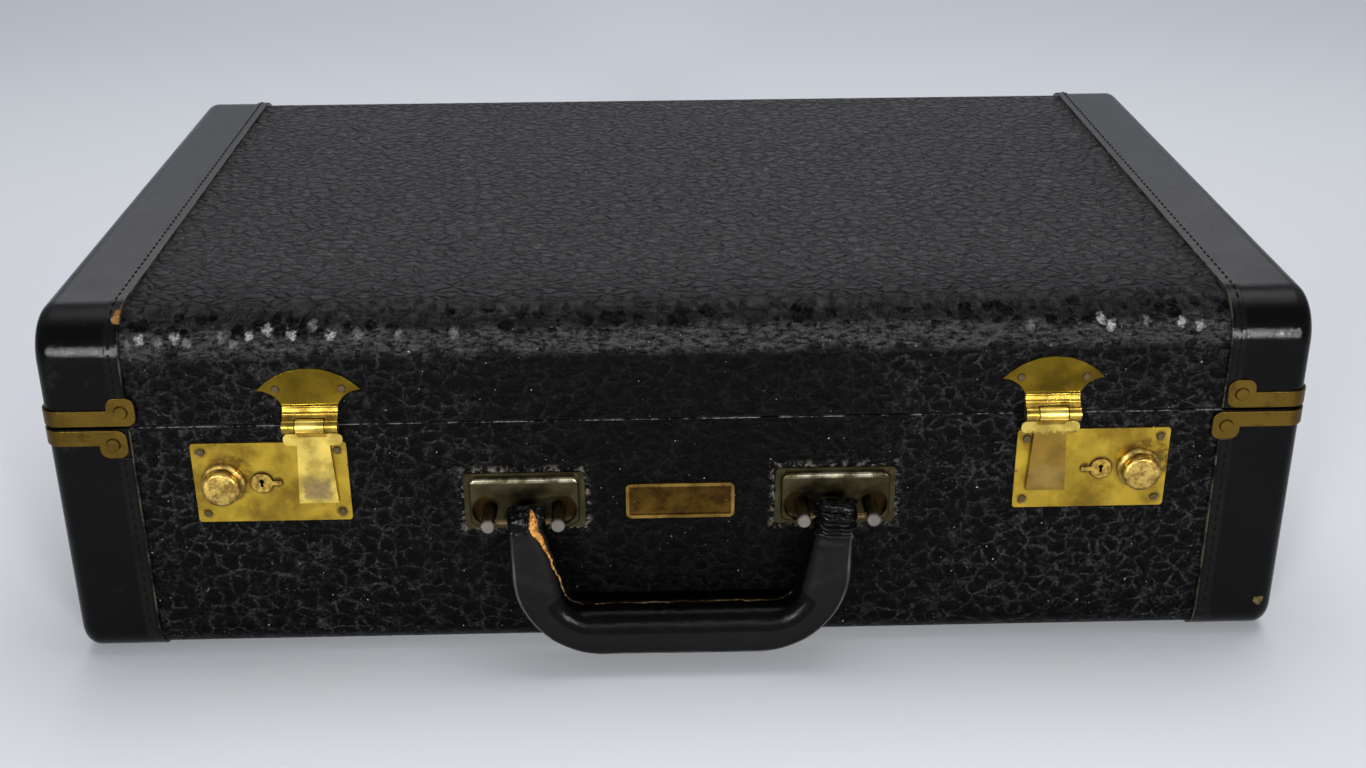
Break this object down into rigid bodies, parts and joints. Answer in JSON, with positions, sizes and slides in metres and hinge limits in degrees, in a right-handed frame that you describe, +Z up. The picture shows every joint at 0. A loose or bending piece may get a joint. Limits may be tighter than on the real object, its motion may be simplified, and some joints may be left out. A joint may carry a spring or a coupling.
{
  "type": "leather suitcase",
  "caption": "Low hard-sided leather suitcase with a rear-hinged lid, front hasp locks with sliding knobs, a swinging handle and brass corner bands.",
  "frame": {"origin": "on the surface that the case lies on, under the middle of its overall footprint", "axes": "+X to the right of someone who faces the locks, +Y from the locks to the hinges, +Z up"},
  "size_m": [0.5232, 0.367, 0.1587],
  "materials": {
    "grained_leather": "embossed pebble grain, worn, semi-gloss",
    "smooth_leather": "smooth, polished, worn at the edges",
    "handle_leather": "smooth, glossy on the inside of the grip",
    "board": "laminated fibre board",
    "lining": "woven lining cloth",
    "brass": "yellow brass, tarnished in places",
    "dull_brass": "dull aged brass",
    "nickel": "aged nickel plate",
    "steel": "bare steel",
    "dark_nail": "dark aged nail heads"
  },
  "bodies": {
    "base": {"base_shell": "board", "base_lip": "board", "base_lining": "lining", "base_cover": "grained_leather", "base_end_left": "smooth_leather", "base_end_right": "smooth_leather", "base_edge_left": "smooth_leather", "base_edge_right": "smooth_leather", "base_corner_bands": "dull_brass", "base_band_rivets": "dull_brass", "lock_plate_left": "brass", "lock_plate_right": "brass", "lock_case_left": "steel", "lock_case_right": "steel", "lock_plate_nails": "dark_nail", "handle_mount_left": "nickel", "handle_mount_right": "nickel", "handle_posts": "nickel", "handle_pins": "steel", "name_plate": "dull_brass", "name_plate_nails": "dark_nail", "hinge_base_leaf_left": "dull_brass", "hinge_base_leaf_right": "dull_brass", "hinge_pin_left": "steel", "hinge_pin_right": "steel", "hinge_base_rivets": "dark_nail", "base_studs": "nickel"},
    "lid": {"lid_shell": "board", "lid_lining": "lining", "lid_pocket": "lining", "lid_cover": "grained_leather", "lid_end_left": "smooth_leather", "lid_end_right": "smooth_leather", "lid_edge_left": "smooth_leather", "lid_edge_right": "smooth_leather", "lid_corner_bands": "dull_brass", "lid_band_rivets": "dull_brass", "hasp_leaf_left": "brass", "hasp_leaf_right": "brass", "hasp_leaf_nails": "dark_nail", "hasp_pin_left": "steel", "hasp_pin_right": "steel", "hinge_lid_leaf_left": "dull_brass", "hinge_lid_leaf_right": "dull_brass", "hinge_lid_rivets": "dark_nail", "lid_studs": "nickel"},
    "hasp_left": {"hasp_tongue_left": "brass", "hasp_catch_left": "steel"},
    "hasp_right": {"hasp_tongue_right": "brass", "hasp_catch_right": "steel"},
    "knob_left": {"knob_left": "brass"},
    "knob_right": {"knob_right": "brass"},
    "key_left": {"key_cylinder_left": "brass"},
    "key_right": {"key_cylinder_right": "brass"},
    "handle": {"handle_grip": "handle_leather", "handle_core": "steel"}
  },
  "joints": [
    {"name": "lid_hinge", "type": "hinge", "parent": "base", "child": "lid", "pos_m": [0, 0.1795, 0.11], "axis": [-1, 0, 0], "range_deg": [0, 105]},
    {"name": "hasp_left_swing", "type": "hinge", "parent": "lid", "child": "hasp_left", "pos_m": [-0.1505, -0.1639, 0.1109], "axis": [-1, 0, 0], "range_deg": [0, 150]},
    {"name": "hasp_right_swing", "type": "hinge", "parent": "lid", "child": "hasp_right", "pos_m": [0.1535, -0.1639, 0.1109], "axis": [-1, 0, 0], "range_deg": [0, 150]},
    {"name": "knob_left_slide", "type": "slide", "parent": "base", "child": "knob_left", "axis": [-1, 0, 0], "range_m": [0, 0.005], "stiffness_N_per_m": 150},
    {"name": "knob_right_slide", "type": "slide", "parent": "base", "child": "knob_right", "axis": [1, 0, 0], "range_m": [0, 0.005], "stiffness_N_per_m": 150},
    {"name": "key_left_turn", "type": "hinge", "parent": "base", "child": "key_left", "pos_m": [-0.1735, -0.1595, 0.0838], "axis": [0, -1, 0], "range_deg": [0, 90]},
    {"name": "key_right_turn", "type": "hinge", "parent": "base", "child": "key_right", "pos_m": [0.1765, -0.1595, 0.0838], "axis": [0, 1, 0], "range_deg": [0, 90]},
    {"name": "handle_swing", "type": "hinge", "parent": "base", "child": "handle", "pos_m": [0, -0.1735, 0.07], "axis": [-1, 0, 0], "range_deg": [-3, 183]}
  ]
}
